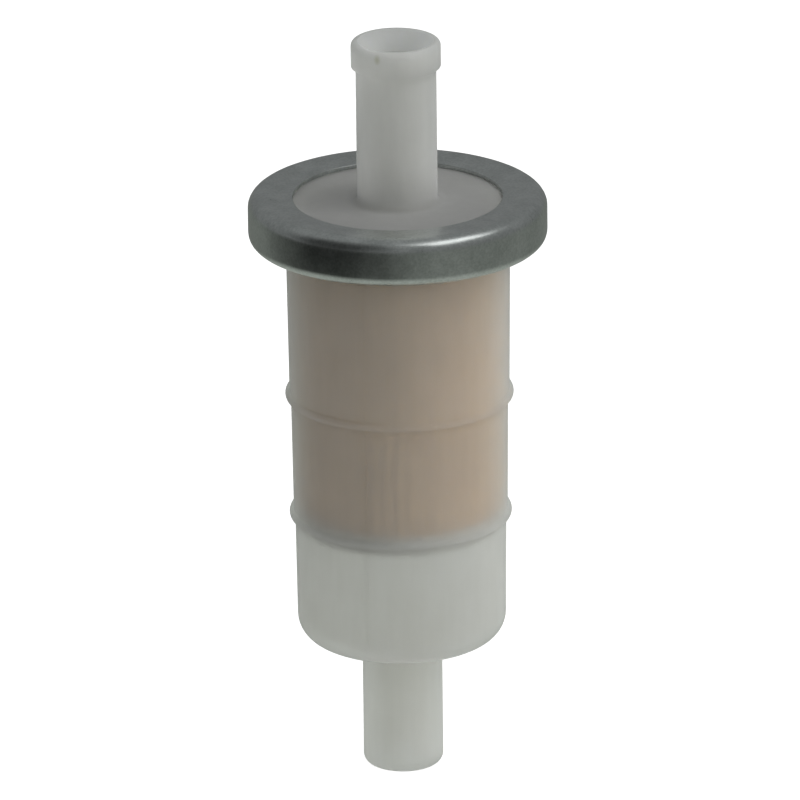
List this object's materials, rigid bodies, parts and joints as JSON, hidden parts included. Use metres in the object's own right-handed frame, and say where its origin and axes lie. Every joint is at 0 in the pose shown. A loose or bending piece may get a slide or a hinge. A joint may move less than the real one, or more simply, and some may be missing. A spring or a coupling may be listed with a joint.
{
  "type": "inline fuel filter",
  "caption": "Inline fuel filter for a small engine: translucent nylon bowl and cap held by a rolled steel ring, hose nipples at both ends, pleated paper element inside.",
  "frame": {"origin": "on the filter's axis, at the end of the bowl's nipple", "axes": "+Z along the filter's axis, from the bowl's nipple towards the cap's; -Y is the side with the front parting line"},
  "size_m": [0.0354, 0.0354, 0.0906],
  "materials": {
    "housing_nylon": "frosted translucent nylon, fine satin surface",
    "plated_steel": "zinc-plated sheet steel, satin",
    "seal_rubber": "smooth nitrile rubber",
    "end_cap_plastic": "pale grey moulded nylon, satin",
    "filter_paper": "resin-treated cellulose filter paper",
    "adhesive": "cured potting adhesive, slightly glossy"
  },
  "bodies": {
    "root": {"inlet_bowl": "housing_nylon", "outlet_cap": "housing_nylon", "crimp_ring": "plated_steel", "flange_o_ring": "seal_rubber", "upper_end_cap": "end_cap_plastic", "lower_end_cap": "end_cap_plastic", "core_tube": "end_cap_plastic", "pleated_paper": "filter_paper", "seam_bead": "adhesive", "upper_potting": "adhesive", "lower_potting": "adhesive"}
  },
  "joints": []
}
